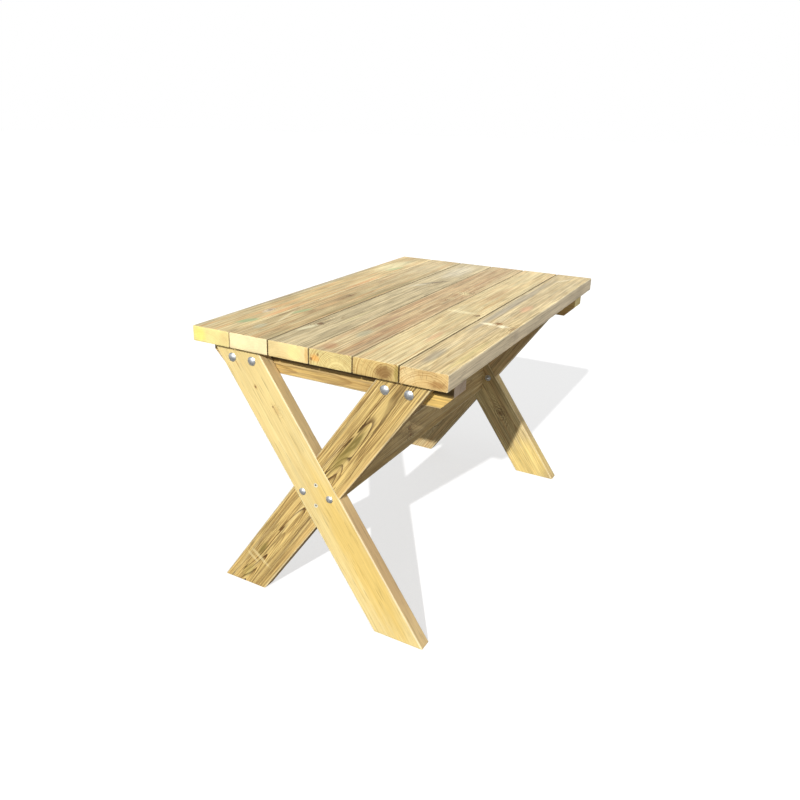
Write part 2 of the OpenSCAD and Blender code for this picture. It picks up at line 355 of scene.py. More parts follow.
def outline(width, thick):
    """Points round a rounded section and, for each, its place on the section's middle line."""
    flat_x, flat_z = width / 2 - EDGE_R, thick / 2 - EDGE_R
    points = []
    for side in range(4):
        turn = math.pi / 2 * side
        half, away = (flat_x, flat_z) if side % 2 == 0 else (flat_z, flat_x)
        across = Vector((math.cos(turn), math.sin(turn)))
        out = Vector((math.sin(turn), -math.cos(turn)))
        for place in spread(half, SIDE_STEP):
            points.append(across * place + out * (away + EDGE_R))
        corner = across * half + out * away
        for k in range(1, ARC_STEPS):
            angle = math.pi / 2 * k / ARC_STEPS
            points.append(corner + EDGE_R * (math.cos(angle) * out + math.sin(angle) * across))
    reach = max(0.0, (width - thick) / 2)
    return [(p, Vector((max(-reach, min(reach, p.x)), 0.0))) for p in points]


def levels(half):
    """Each cross-section from end to end: its place along the grain and its share of inset."""
    inner = spread(half - END_EASE, RING_STEP)
    body = [(y, 0.0) for y in inner]
    ease = [(half - END_EASE * 0.3, END_EASE * 0.3), (half, END_EASE)]
    return [(-y, inset) for y, inset in reversed(ease)] + body + ease


def weathered(point, size, seed):
    """Draws a point in from the true section: slow waves on the faces, chips at the edges."""
    x, y, z = point
    half_w, half_t = size.x / 2, size.z / 2
    sides = [noise.noise(Vector((seed * 9.1 + s, y * 4.0, s * 3.7))) for s in (math.copysign(1, x),
                                                                               math.copysign(3, z))]
    faces = noise.noise(Vector((x * 14.0, y * 3.0, seed * 5.3 + math.copysign(2, z))))
    in_x = SIDE_WAVE * (0.5 + 0.5 * sides[0])
    in_z = WAVE * (0.5 + 0.3 * sides[1] + 0.2 * faces)
    if abs(x) > half_w - EDGE_R and abs(z) > half_t - EDGE_R:
        worn = noise.noise(Vector((y * 60.0, seed * 4.1 + math.copysign(2, x), math.copysign(5, z))))
        chip = CHIP * max(0.0, worn - 0.25)
        in_x, in_z = in_x + chip, in_z + chip
    return Vector((x * (1 - in_x / half_w), y, z * (1 - in_z / half_t)))


def timber_mesh(timber):
    """The closed mesh of a timber, placed in the table."""
    width, length, thick = timber.size
    rim = outline(width, thick)
    rows = levels(length / 2)
    closed = bmesh.new()

    def put(y, point):
        share = min(1.0, abs(y) / (length / 2))
        slope = timber.lap_slope + (timber.end_slope - timber.lap_slope) * share
        local = weathered(Vector((point.x, y, point.y)), timber.size, timber.seed)
        return closed.verts.new(local + Vector((0, slope * local.x, 0)))

    def ring(y, inset):
        return [put(y, p - (p - core).normalized() * inset) for p, core in rim]

    def bridge(first, second):
        for k in range(len(first)):
            n = (k + 1) % len(first)
            closed.faces.new((first[k], first[n], second[n], second[k]))

    made = [ring(y, inset) for y, inset in rows]
    for first, second in zip(made, made[1:]):
        bridge(first, second)
    for y, edge in ((rows[0][0], made[0]), (rows[-1][0], made[-1])):
        for share in (0.25, 0.5, 0.75, 1.0):
            inner = [put(y, (p - (p - core).normalized() * END_EASE).lerp(core, share)) for p, core in rim]
            bridge(edge, inner)
            edge = inner
    bmesh.ops.remove_doubles(closed, verts=closed.verts, dist=1e-5)
    bmesh.ops.recalc_face_normals(closed, faces=closed.faces)
    closed.transform(timber.place)
    mesh = bpy.data.meshes.new(timber.node)
    closed.to_mesh(mesh)
    closed.free()
    return mesh


def new_object(name, data):
    made = bpy.data.objects.new(name, data)
    bpy.context.scene.collection.objects.link(made)
    return made


def evaluated_mesh(piece):
    """The plain mesh that a piece's modifiers make."""
    bpy.context.view_layer.update()
    graph = bpy.context.evaluated_depsgraph_get()
    return bpy.data.meshes.new_from_object(piece.evaluated_get(graph))


def carve(piece, cutters):
    """Cuts the closed solids in a bmesh out of a piece."""
    mesh = bpy.data.meshes.new("cutter")
    bmesh.ops.recalc_face_normals(cutters, faces=cutters.faces)
    cutters.to_mesh(mesh)
    cutters.free()
    tool = new_object("cutter", mesh)
    cut = piece.modifiers.new("cut", "BOOLEAN")
    cut.operation, cut.solver, cut.object = "DIFFERENCE", "EXACT", tool
    result = evaluated_mesh(piece)
    piece.modifiers.clear()
    piece.data = result
    bpy.data.objects.remove(tool)


# ---- Places of the CAD solids ----

def solids(node):
    """The lowest and highest corner of each separate solid of a CAD node, along X then Z."""
    welded = bmesh.new()
    welded.from_mesh(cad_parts[node].data)
    bmesh.ops.remove_doubles(welded, verts=welded.verts, dist=1e-6)
    left, found = set(welded.verts), []
    while left:
        pending, group = [left.pop()], []
        while pending:
            vertex = pending.pop()
            group.append(vertex.co.copy())
            for edge in vertex.link_edges:
                other = edge.other_vert(vertex)
                if other in left:
                    left.remove(other)
                    pending.append(other)
        found.append((Vector(map(min, *group)), Vector(map(max, *group))))
    welded.free()
    return sorted(found, key=lambda box: (round(box[0].x, 4), round(box[0].z, 4), round(box[0].y, 4)))


class End:
    """One crossed frame: which way is inwards along Y, and where its outer face is."""

    def __init__(self, name, inward):
        self.name, self.inward = name, inward
        low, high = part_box(name + "_outer_leg")
        self.face = low.y if inward > 0 else high.y
        self.turn = 0.0 if inward > 0 else 180.0
        self.thick = high.y - low.y
        self.facing = (math.radians(-90 * inward), 0, 0)

    def solids_of(self, node):
        """The size of the first solid of a node, and the outer end of each one's axis."""
        boxes = solids(node)
        starts = [Vector(((low.x + high.x) / 2, low.y if self.inward > 0 else high.y, (low.z + high.z) / 2))
                  for low, high in boxes]
        return boxes[0][1] - boxes[0][0], starts


ENDS = [End("near", 1), End("far", -1)]


def bore(cutters, start, end, radius, end_radius=None, sides=24):
    """Adds a round cutter from start to end, or a cone where the radii differ."""
    line = end - start
    turn = line.to_track_quat("Z", "Y").to_matrix().to_4x4()
    bmesh.ops.create_cone(cutters, cap_ends=True, segments=sides, radius1=radius,
                          radius2=radius if end_radius is None else end_radius, depth=line.length,
                          matrix=Matrix.Translation((start + end) / 2) @ turn)


def bores(*sets, past=0.004):
    """Straight holes for the bolts or screws of some CAD nodes, each with its size and its play."""
    cutters = bmesh.new()
    for node, diameter, play in sets:
        for low, high in solids(node):
            middle, size = (low + high) / 2, high - low
            half = Vector((0, 0, size.z / 2)) if size.z > size.y else Vector((0, size.y / 2, 0))
            reach = half + half.normalized() * past
            bore(cutters, middle - reach, middle + reach, diameter / 2 + play)
    return cutters


def screw_bores(kind):
    """Holes for the screws that enter a timber from both crossed frames."""
    return bores(*[(end.name + kind, SCREW_D, SCREW_PLAY) for end in ENDS], past=0.0)


def sinks(node, away, past=0.001):
    """A countersink for each screw of a CAD node, whose head faces along away."""
    cutters, away = bmesh.new(), Vector(away)
    for low, high in solids(node):
        face = (low + high) / 2 + away * abs((high - low).dot(away) / 2)
        bore(cutters, face + away * past, face - away * (SCREW_HEAD_D - SCREW_D) / 2,
             SCREW_HEAD_D / 2 + SCREW_PLAY + past, SCREW_D / 2 + SCREW_PLAY, 32)
    return cutters


# ---- Geometry node trees for the fasteners ----

class Maker(Graph):
    """A graph of geometry nodes, with each point's place and its angle and distance round Z."""

    def __init__(self, tree):
        super().__init__(tree)
        self.x, self.y, self.z = self.split(self.add("GeometryNodeInputPosition").outputs[0])
        self.angle = self.math("ARCTAN2", self.y, self.x)
        self.out = self.length(self.join(self.x, self.y, 0.0))

    def cylinder(self, radius, depth, sides, rows=1, fill=1):
        """A closed cylinder from z 0 to z depth."""
        node = self.add("GeometryNodeMeshCylinder", {
            "Vertices": sides, "Side Segments": rows, "Fill Segments": fill, "Radius": radius,
            "Depth": depth}, fill_type="TRIANGLE_FAN" if fill > 1 else "NGON")
        return self.lifted(node.outputs["Mesh"], self.times(depth, 0.5)), node.outputs

    def lifted(self, geometry, height):
        values = {"Geometry": geometry, "Translation": self.join(0.0, 0.0, height)}
        return self.add("GeometryNodeTransform", values).outputs[0]

    def shape(self, geometry, position):
        return self.add("GeometryNodeSetPosition", {"Geometry": geometry, "Position": position}).outputs[0]

    def difference(self, body, tool):
        node = self.add("GeometryNodeMeshBoolean", {0: body, 1: tool}, operation="DIFFERENCE",
                        solver="EXACT")
        return node.outputs[0]

    def drilled(self, body, diameter, depth):
        """The body with a round hole along its whole depth."""
        tool, _ = self.cylinder(self.times(diameter, 0.5), self.times(depth, 3.0), 36)
        return self.difference(body, self.lifted(tool, self.times(depth, -1.0)))

    def both(self, *parts):
        node = self.add("GeometryNodeJoinGeometry")
        for part in reversed(parts):
            self.tree.links.new(part, node.inputs[0])
        return node.outputs[0]

    def with_radius(self, geometry, radius):
        """Moves each point to a new distance from the axis."""
        x = self.times(self.math("COSINE", self.angle), radius)
        y = self.times(self.math("SINE", self.angle), radius)
        return self.shape(geometry, self.join(x, y, self.z))


def fastener_tree(name, inputs, build):
    """A tree that builds one fastener along +Z and repeats it at the points it is given."""
    sockets = {"Geometry": ["Points"], "Float": inputs, "Vector": ["Facing"], "Int": ["Seed"],
               "Material": ["Material"]}
    g, i, o = new_group(name, sockets, ["Geometry"], "Geometry", "GeometryNodeTree")
    g = Maker(g.tree)
    one = build(g, i)
    spin = g.add("FunctionNodeRandomValue", {"Min": (0, 0, 0), "Max": (0, 0, math.tau), "Seed": i["Seed"]},
                 data_type="FLOAT_VECTOR").outputs[0]
    many = g.add("GeometryNodeInstanceOnPoints", {
        "Points": i["Points"], "Instance": one, "Rotation": i["Facing"]}).outputs[0]
    turned = g.add("GeometryNodeRotateInstances", {"Instances": many, "Rotation": spin,
                                                   "Local Space": True}).outputs[0]
    solid = g.add("GeometryNodeRealizeInstances", {"Geometry": turned}).outputs[0]
    dressed = g.add("GeometryNodeSetMaterial", {"Geometry": solid, "Material": i["Material"]})
    g.put(o["Geometry"], dressed.outputs[0])
    return g.tree


def threaded(g, radius, length, thread_l, pitch, sides, rows, depth_share):
    """A rod from z 0 to length whose far part carries a thread."""
    rod, _ = g.cylinder(radius, length, sides, rows)
    row = g.times(g.over(g.z, length), float(rows))
    plain = g.minus(length, thread_l)
    share = g.over(g.math("MAXIMUM", g.minus(row, 1.0), 0.0), rows - 1.0)
    height = g.plus(g.times(g.math("MINIMUM", row, 1.0), plain), g.times(share, thread_l))
    rod = g.shape(rod, g.join(g.x, g.y, height))
    turns = g.minus(g.over(g.z, pitch), g.over(g.angle, math.tau))
    groove = g.times(g.math("PINGPONG", turns, 0.5), 2.0)
    on_thread = g.step(g.z, g.plus(plain, 0.0005), g.plus(plain, 0.002))
    tip = g.step(g.z, g.minus(length, pitch), length)
    cut = g.plus(g.times(groove, on_thread, depth_share), g.times(tip, 0.10))
    return g.with_radius(rod, g.times(g.out, g.minus(1.0, cut)))


def build_bolt(g, i):
    """A coach bolt: a domed head over a round rod with a thread at its end."""
    head_r = g.times(i["Head Diameter"], 0.5)
    dome_h = g.minus(i["Head Height"], HEAD_RIM)
    square = g.times(head_r, head_r)
    ball = g.over(g.plus(square, g.times(dome_h, dome_h)), g.times(dome_h, 2.0))
    head, parts = g.cylinder(head_r, HEAD_RIM, 48, 2, 10)
    out = g.math("MINIMUM", g.out, head_r)
    rise = g.math("SQRT", g.minus(g.times(ball, ball), g.times(out, out)))
    rise = g.minus(rise, g.minus(ball, dome_h))
    values = {"Geometry": g.lifted(head, -HEAD_RIM), "Selection": parts["Bottom"],
              "Offset": g.join(0.0, 0.0, g.times(rise, -1.0))}
    dome = g.add("GeometryNodeSetPosition", values).outputs[0]
    rod = threaded(g, g.times(i["Rod Diameter"], 0.5), i["Length"], i["Thread Length"], i["Pitch"],
                   sides=24, rows=97, depth_share=0.10)
    return g.both(dome, rod)


def build_washer(g, i):
    body, _ = g.cylinder(g.times(i["Outer Diameter"], 0.5), i["Thickness"], 48)
    return g.drilled(body, i["Hole Diameter"], i["Thickness"])


def build_nut(g, i):
    """A hexagon nut whose corners are chamfered at both faces, with a round hole."""
    flat = g.times(i["Across Flats"], 0.5)
    body, _ = g.cylinder(flat, i["Height"], 48, 12)
    sector = math.tau / 6
    off_flat = g.minus(g.math("MODULO", g.plus(g.angle, math.tau), sector), sector / 2)
    hexagon = g.over(flat, g.math("COSINE", off_flat))
    from_face = g.math("MINIMUM", g.z, g.minus(i["Height"], g.z))
    cone = g.plus(g.times(flat, 0.97), g.times(from_face, 1.9))
    body = g.with_radius(body, g.math("MINIMUM", hexagon, cone))
    return g.drilled(body, i["Hole Diameter"], i["Height"])


def build_screw(g, i):
    """A countersunk wood screw with a six-lobed drive, a coarse thread and a point."""
    head_r = g.times(i["Head Diameter"], 0.5)
    rod_r = g.times(i["Rod Diameter"], 0.5)
    head_h = g.minus(head_r, rod_r)
    head = g.add("GeometryNodeMeshCone", {
        "Vertices": 36, "Side Segments": 1, "Fill Segments": 1, "Radius Top": rod_r,
        "Radius Bottom": head_r, "Depth": head_h}, fill_type="NGON").outputs["Mesh"]
    deep = i["Drive Depth"]
    lobes, _ = g.cylinder(g.times(i["Drive Width"], 0.44), g.times(deep, 2.0), 48)
    wave = g.times_plus(g.math("COSINE", g.times(g.angle, 6.0)), 0.16, 1.0)
    lobes = g.with_radius(lobes, g.times(g.out, wave))
    head = g.difference(head, g.lifted(lobes, g.times(deep, -1.0)))
    size = g.minus(i["Length"], deep)
    rod = threaded(g, rod_r, size, g.times(i["Length"], 0.6), SCREW_PITCH,
                   sides=10, rows=66, depth_share=0.22)
    taper = g.step(g.z, g.minus(size, g.times(rod_r, 2.0)), size, 1.0, 0.12)
    rod = g.with_radius(rod, g.times(g.out, taper, 0.98))
    return g.both(head, g.lifted(rod, deep))


TREES = {
    "bolt": fastener_tree("Coach Bolt", ["Head Diameter", "Head Height", "Rod Diameter", "Length",
                                         "Thread Length", "Pitch"], build_bolt),
    "washer": fastener_tree("Washer", ["Outer Diameter", "Hole Diameter", "Thickness"], build_washer),
    "nut": fastener_tree("Nut", ["Across Flats", "Height", "Hole Diameter"], build_nut),
    "screw": fastener_tree("Wood Screw", ["Head Diameter", "Rod Diameter", "Length", "Drive Width",
                                          "Drive Depth"], build_screw),
}


def fasteners(node, kind, points, facing, **sizes):
    """One piece made of a fastener at each of the points, in place of a CAD node."""
    mesh = bpy.data.meshes.new(node + "_points")
    mesh.from_pydata([tuple(p) for p in points], [], [])
    holder = new_object(node + "_maker", mesh)
    made = holder.modifiers.new("fasteners", "NODES")
    made.node_group = TREES[kind]
    material, slot = (PALE_ZINC, "screw_zinc") if kind == "screw" else (ZINC, "bolt_zinc")
    values = titled({"facing": facing, "seed": len(node), "material": material, **sizes})
    for item in TREES[kind].interface.items_tree:
        if item.name in values:
            made[item.identifier] = values[item.name]
    result = evaluated_mesh(holder)
    bpy.data.objects.remove(holder)
    result.name = node
    finish_mesh(result)
    add_piece(node, result, material)


def finish_mesh(mesh):
    """Smooth shading with the true edges kept sharp."""
    mesh.shade_smooth()
    mesh.set_sharp_from_angle(angle=SMOOTH_ANGLE)


def add_piece(node, mesh, material):
    """Puts a piece in the table in place of a CAD node."""
    piece = new_object("looks_" + node, mesh)
    mesh.materials.clear()
    mesh.materials.append(material)
    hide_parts(node)
    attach(piece, "root")


# ---- Materials ----

# In a look, far is how much the faces are painted paler towards the far end: a painted sheen.
BASE_LOOK = dict(
    early="d0bc8b", late="8a6630", streak="c99a66", band="b8a47c", pale="e2d6b0", end_early="cfc08a",
    end_late="c29c68", knot="8c6840", knot_rim="46301c", line="7d5f38", side="b9a47c", sides=0,
    joints=(0, 0), swirl=0.5, lines=0.5, end_contrast=0.7, contrast=0.65, streaks=0.35, bands=0.35,
    blotches=0.25, fine=0.34, pores=0.25, rough=0.62, sharp=1.4, ragged=0.75, arcs=0.9, far=0, ends=(),
    pith=(-100, -40), lean=(0, -0.02), ring=3.4, wander=14, wear=0.35, rays=0.25, knots=(), patches=(),
)

# Places and sizes are in millimetres from the timber's middle. The pith has a place across and
# through, and leans as much for each unit along. A knot is its place across and along, radius,
# stretch, ring lift and strength. A patch is its colour, place across and along, half width, half
# length, slant and strength. An end patch is its colour, place across and through, half width,
# half height and strength.
# In each look, side and sides are the colour and strength of painted shade on the long side faces, which the
# lamps only graze.
LOOKS = {
    "top_plank_1": dict(
        early="ddc892", late="bb995e", streak="e3af77", band="bbae88", end_early="d7c887",
        end_late="d8b878", line="94703f", joints=(0, 0.1), lines=0.4, end_contrast=0.25, contrast=0.55,
        streaks=0.6, arcs=0.5, far=0.15, pith=(-20, -70), lean=(0, -0.006), rays=0,
        ends=(("e4d668", -38, 0, 30, 30, 0.6), ("d6bd80", 48, 0, 22, 30, 0.6)),
        knots=((11, -359, 6, 1.5, 3, 0.5),),
        patches=(("e6e0c8", 11, -365, 16, 40, 0, 0.55), ("8fb07e", 30, -485, 20, 50, 0.4, 0.65),
            ("e2a673", 49, 103, 10, 180, 0, 0.6), ("dba06e", 45, -360, 12, 120, 0, 0.5),
            ("e6e2b4", 0, 420, 50, 160, 0.1, 0.5), ("a8c08c", 28, 361, 18, 60, 0.2, 0.6),
            ("a8a08a", -52, -100, 14, 650, 0, 0.6))),
    "top_plank_2": dict(
        late="a28050", streak="ce9b67", band="a49c70", end_early="dac99c", end_late="dcc89a",
        line="7d5c36", joints=(0.1, 0.8), end_contrast=0.2, streaks=0.6, arcs=0.6, far=0.2,
        pith=(30, -60), lean=(0.01, 0.012), rays=0,
        ends=(("e5d4a3", -30, 0, 40, 30, 0.6),),
        knots=((-11, -85, 4, 1.6, 3, 0.8),),
        patches=(("9dba86", -30, -323, 14, 50, 0.2, 0.6), ("b9bca0", -33, -509, 18, 35, 0, 0.5),
            ("e6d9ae", -30, -400, 7, 90, -0.25, 0.55), ("857a4c", 48, -50, 12, 600, 0, 0.55),
            ("8a6a44", -12, -110, 20, 90, 0, 0.4), ("dccba0", 0, 420, 50, 160, 0.1, 0.4))),
    "top_plank_3": dict(
        early="d3c196", late="a98f61", streak="bdac86", band="b4a67e", end_early="d3bd86",
        end_late="d0b076", line="7a6a4a", joints=(0.8, 0.5), swirl=1.3, end_contrast=0.3, streaks=0.5,
        far=0.25, pith=(-15, -45), lean=(0.01, 0.016), rays=0,
        ends=(("c4a163", 56, 0, 8, 30, 0.8), ("e1cd87", 20, 0, 30, 30, 0.5)),
        knots=((-34, -406, 7.5, 1.5, 6, 0.8), (10, 225, 5, 3, 3, 0.4)),
        patches=(("e8e0b8", -42, -450, 14, 50, 0.2, 0.7), ("dccd98", 11, -280, 10, 150, 0, 0.5),
            ("ece6cc", -20, 185, 14, 75, 0.4, 0.5), ("5c4a30", 6, 235, 10, 70, 0.65, 0.9),
            ("5c4a30", -34, -398, 12, 12, 0, 0.5), ("e9e2cc", 0, 440, 50, 160, 0, 0.5))),
    "top_plank_4": dict(
        early="d6c292", late="a78759", streak="bd8b62", band="c89f76", end_early="c8b77b",
        end_late="b88a50", line="7c5a3c", joints=(0.5, 0.5), swirl=0.9, end_contrast=0.9, streaks=0.45,
        bands=0.4, far=0.1, pith=(19, -30), lean=(0, 0.004), ring=4.2, rays=0.3,
        ends=(("d29d52", -42, -2, 18, 14, 0.85), ("664320", -54, -6, 4, 6, 0.8),
            ("664320", -34, 8, 4, 5, 0.7), ("d1c285", 20, 4, 40, 20, 0.5)),
        knots=((43, 147, 6, 1.7, 4, 0.6), (12, 125, 6, 1.9, 4, 0.2), (16, 54, 5, 2, 3, 0.2)),
        patches=(("aaa98c", -12, -419, 22, 50, 0, 0.6), ("a8683e", -24, -560, 24, 40, 0, 0.5),
            ("a8765a", -19, -280, 14, 140, 0, 0.5), ("efdfa8", 30, 137, 34, 30, 0, 0.6),
            ("e6cf9a", 16, 54, 18, 24, 0, 0.5))),
    "top_plank_5": dict(
        early="e4d29f", late="c5a569", streak="dcaf7d", band="d4be90", end_early="c0a76b",
        end_late="b88c58", line="94713f", joints=(0.5, 0.8), lines=0.4, end_contrast=0.8, contrast=0.5,
        arcs=0.5, far=0.15, pith=(30, -18), lean=(0, 0.005), rays=0.5,
        ends=(("78562b", 22, -4, 30, 24, 0.85), ("9b8a48", 56, 0, 9, 30, 0.8),
            ("d2ba7a", -40, 6, 26, 30, 0.5)),
        knots=((45, -96, 4, 2.6, 3, 0.9),),
        patches=(("f2e4b4", -12, -80, 60, 18, 0, 0.75), ("efe2b4", -30, -60, 20, 110, 0, 0.4),
            ("84622f", 40, -98, 10, 12, 0.5, 0.6), ("dba27a", 29, -341, 12, 80, 0, 0.45),
            ("bf9a6c", 1, 190, 22, 150, 0, 0.45))),
    "top_plank_6": dict(
        early="e8d29d", late="c1a169", streak="d2b483", band="b6ae97", end_early="c2a66f",
        end_late="bc9258", line="86683c", side="c0b39c", sides=0.75, joints=(0.8, 0), swirl=0.9,
        lines=0.45, contrast=0.5, arcs=0.5, far=0.1, pith=(0, -55), lean=(-0.012, 0.014), rays=0.5,
        ends=(("d1bd8c", -40, 4, 34, 30, 0.6), ("8d6430", 34, -8, 30, 13, 0.7)),
        knots=((0, -143, 5, 1.5, 6, 0.75), (60.5, -170, 12, 1.2, 3, 0.5)),
        patches=(("9c968a", -38, 120, 20, 500, 0, 0.6), ("f6eac4", -22, -160, 28, 16, 0, 0.9),
            ("f6eac4", 20, -166, 22, 18, 0, 0.9), ("a8743a", 2, -144, 12, 15, 0, 0.8),
            ("e0a682", 12, 55, 18, 60, 0, 0.5), ("9c9484", -25, -493, 18, 90, 0, 0.5),
            ("e2ce8c", 42, -438, 16, 160, 0, 0.6), ("efe4c2", -8, 503, 10, 60, 0.4, 0.6))),
    "near_outer_leg": dict(
        early="d0bb80", late="bf9f5e", streak="c6a76a", band="cdb77a", side="c4a47c", sides=0.5,
        lines=0.07, contrast=0.22, streaks=0.22, bands=0.25, blotches=0.1, fine=0.14, arcs=0.25,
        lean=(0, -0.004), ring=2.6, wander=20, wear=0.5,
        knots=((-5, 319, 2.6, 1.4, 2, 0.9), (14, 250, 2.2, 1.4, 2, 0.9), (22, 233, 5, 1.4, 5, 0.12)),
        patches=(("b98a4e", -22, 396, 3, 14, 0, 0.5), ("ab8648", -5, 319, 6, 12, 0, 0.5),
            ("b8955a", 18, 240, 10, 20, 0, 0.35), ("c8a750", 20, -200, 60, 360, 0, 0.6),
            # The last patch is painted shade, darkening the lower side face.
            ("a68c5c", 59, -220, 5, 240, 0, 0.9))),
    "near_inner_leg": dict(
        early="c9ad6c", late="4a3010", streak="a87f44", band="ac9058", line="6a4a1e", side="8a6a40",
        sides=0.5, lines=0.6, contrast=1.3, streaks=0.25, bands=0.3, blotches=0.15, fine=0.26, sharp=2,
        ragged=0.25, arcs=0, pith=(2, -12), lean=(0.012, -0.034), ring=3, wander=20,
        knots=((-2, 175, 11, 3.6, 3, 0), (-16, -300, 10, 2.6, 2, 0)),
        patches=(("7c6c34", -2, 175, 17, 125, 0.03, 0.8), ("c9ae6e", 2, 335, 15, 65, 0, 0.7),
            ("7c6c30", -18, -290, 11, 45, 0, 0.7), ("8f8240", -12, -400, 16, 50, 0, 0.4),
            ("e2cf98", -10, -325, 60, 8, 0, 0.45), ("e2cf98", -26, -345, 30, 7, 0, 0.4),
            ("c4a466", 50, 0, 12, 500, 0, 0.7))),
    "far_outer_leg": dict(
        early="c4ad7c", late="7d6034", swirl=0.8, contrast=0.8, sharp=1.8, pith=(30, -40),
        knots=((4, -278, 9, 1.3, 5, 0.8),),
        patches=(("4a3a1e", 4, -278, 18, 24, 0, 0.5),)),
    "far_inner_leg": dict(
        early="cfbb85", late="8a6c3a", swirl=1, contrast=0.7, sharp=1.8, pith=(-30, -50),
        knots=((-6, -173, 9, 1.2, 5, 0.45),),
        patches=(("5d4826", -6, -173, 14, 18, 0, 0.35), ("a39468", 30, -50, 14, 200, 0, 0.5),
            # The last patch is painted light, yellower over the foot where the lamp reaches the leg under
            # the table.
            ("dcc070", 0, -390, 110, 130, 0, 0.6))),
    "near_bearer": dict(
        early="c4a460", streak="b18748", end_early="ad9c8a", end_late="c8ac8c", contrast=0.8,
        sharp=1.8, arcs=0, pith=(20, -30), ring=3,
        # The first patch is painted light, lighter and yellower on the lower front near one end where the
        # lamp falls. The second is a painted shadow along the top, under the planks' overhang.
        patches=(("d6b364", 20, 300, 40, 70, 0, 0.7), ("3a2a10", -12, 0, 16, 1200, 0, 0.85))),
    "far_bearer": dict(
        early="c0a264", late="8a6a38", lines=0.3, contrast=0.7, arcs=0, pith=(10, -40)),
    "stretcher": dict(
        early="a8905f", late="6e5228", streak="8c7040", swirl=0.8, contrast=0.7, sharp=1.8,
        pith=(20, -50),
        knots=((-12, -70, 6, 1.4, 4, 0.9), (14, -78, 7, 1.4, 4, 0.9), (15, 180, 8, 1.4, 4, 0.8))),
}


def new_material(name):
    """A new material with its graph and its shader."""
    material = bpy.data.materials.new(name)
    material.use_nodes = True
    graph = Graph(material.node_tree)
    return material, graph, graph.tree.nodes["Principled BSDF"]


def metres(*sizes):
    return tuple(size / 1000 for size in sizes)


def ring_parts(g, timber, look, place):
    """The stem, its latewood lines, how strongly they show, and the knots that lift them."""
    (x, z), (lean_x, lean_z) = metres(*look["pith"]), look["lean"]
    stem = g.group(STEM, position=place, pith=(x, 0, z), lean=(lean_x, 0, lean_z), seed=timber.seed,
                   ring_width=look["ring"] / 1000, wander=look["wander"] / 1000, ragged=look["ragged"])
    rings, shown, knots = stem["Rings"], look["contrast"], []
    for number, (x, y, radius, stretch, lift, strength) in enumerate(look["knots"]):
        knot = g.group(KNOT, position=place, centre=metres(x, y, 0), radius=radius / 1000,
                       stretch=stretch, seed=timber.seed + number)
        rings = g.times_plus(knot["Swell"], lift, rings)
        shown = g.times_plus(knot["Halo"], look["swirl"], shown)
        knots.append((knot, strength))
    late = g.group(RINGS, rings=rings, sharpness=look["sharp"], seed=timber.seed)["Late"]
    return stem, late, shown, knots


def patched(g, timber, colour, place, patches):
    """The colour with patches laid over it, each a colour, a centre, a size, a slant and a strength."""
    for number, (code, centre, size, slant, strength) in enumerate(patches):
        patch = g.group(PATCH, position=place, centre=centre, size=size, slant=slant,
                        seed=timber.seed + number)
        colour = g.tint(colour, code, patch["Mask"], strength)
    return colour


def face_colour(g, timber, look, place, fibre, late, shown, knots):
    """The colour of the long faces: rings, bands, streaks, lines, patches and knots."""
    streaks, colour = look["streaks"], paint(look["early"])
    for kind, mask, strength in (("late", late, shown),
                                 ("band", g.step(fibre["Band"], 0.42, 0.66), look["bands"]),
                                 ("streak", g.step(fibre["Streak"], 0.50, 0.62), streaks),
                                 ("pale", g.step(fibre["Streak"], 0.48, 0.36), streaks * 0.45),
                                 ("line", fibre["Lines"], look["lines"])):
        colour = g.tint(colour, look[kind], mask, strength)
    colour = patched(g, timber, colour, place, [
        (code, metres(x, y, 0), metres(wide, long, 1000), slant, strength)
        for code, x, y, wide, long, slant, strength in look["patches"]])
    for knot, strength in knots:
        heart = g.blend(knot["Rings"], paint(look["knot"]), paint(look["knot_rim"]))
        colour = g.blend(g.times(knot["Core"], strength), colour, heart)
        colour = g.tint(colour, look["knot_rim"], knot["Rim"], strength)
        colour = g.tint(colour, look["knot_rim"], knot["Arcs"], look["arcs"])
    parts, half = g.split(place), timber.size / 2
    # Painted sheen: the faces turn paler towards the far end, standing in for the light that the tops
    # reflect at a grazing angle.
    far = g.step(parts["Y"], -half.y * 0.3, half.y, 0.0, look["far"])
    colour = g.blend(far, colour, paint("efdfba"))
    # Painted shade: the long side faces take the look's side colour, because the lamps only graze them.
    sides = g.step(g.math("ABSOLUTE", parts["X"]), half.x - SHADED_SIDE_FROM, half.x - SHADED_SIDE_TO)
    return g.tint(colour, look["side"], sides, look["sides"])


def end_colour(g, timber, look, place, stem, late):
    """The colour of the end grain: stained wood, ring lines and rays."""
    end = -timber.size.y / 2
    colour = patched(g, timber, paint(look["end_early"]), place, [
        (code, (x / 1000, end, z / 1000), metres(wide, 30, high), 0.0, strength)
        for code, x, z, wide, high, strength in look["ends"]])
    lined = g.blend(1.0, colour, paint(look["end_late"]), "MULTIPLY")
    colour = g.blend(g.times(late, look["end_contrast"]), colour, lined)
    return g.tint(colour, "5e4426", stem["Rays"], look["rays"])


def handled(g, timber, look, place, colour):
    """The colour with pale arrises, for wear and as a painted highlight on the rounded edges, dark joints
    beside the next planks, and its sheen.
    """
    half = timber.size / 2
    worn = g.group(ARRIS, position=place, half_size=half, radius=EDGE_R * 1.2, seed=timber.seed)["Mask"]
    # Pale rounded edges: real wear, and a painted highlight where the edges catch the light.
    colour, sheen = g.tint(colour, look["pale"], worn, look["wear"]), WOOD_SHEEN
    for side, strength in zip((-1, 1), look["joints"]):
        if strength:
            near = g.step(g.times(g.split(place)["X"], side), half.x - JOINT_FROM, half.x - JOINT_TO)
            colour = g.tint(colour, "54401e", near, strength)
            sheen = g.times(sheen, g.minus(1.0, g.times(near, strength)))
    return colour, sheen


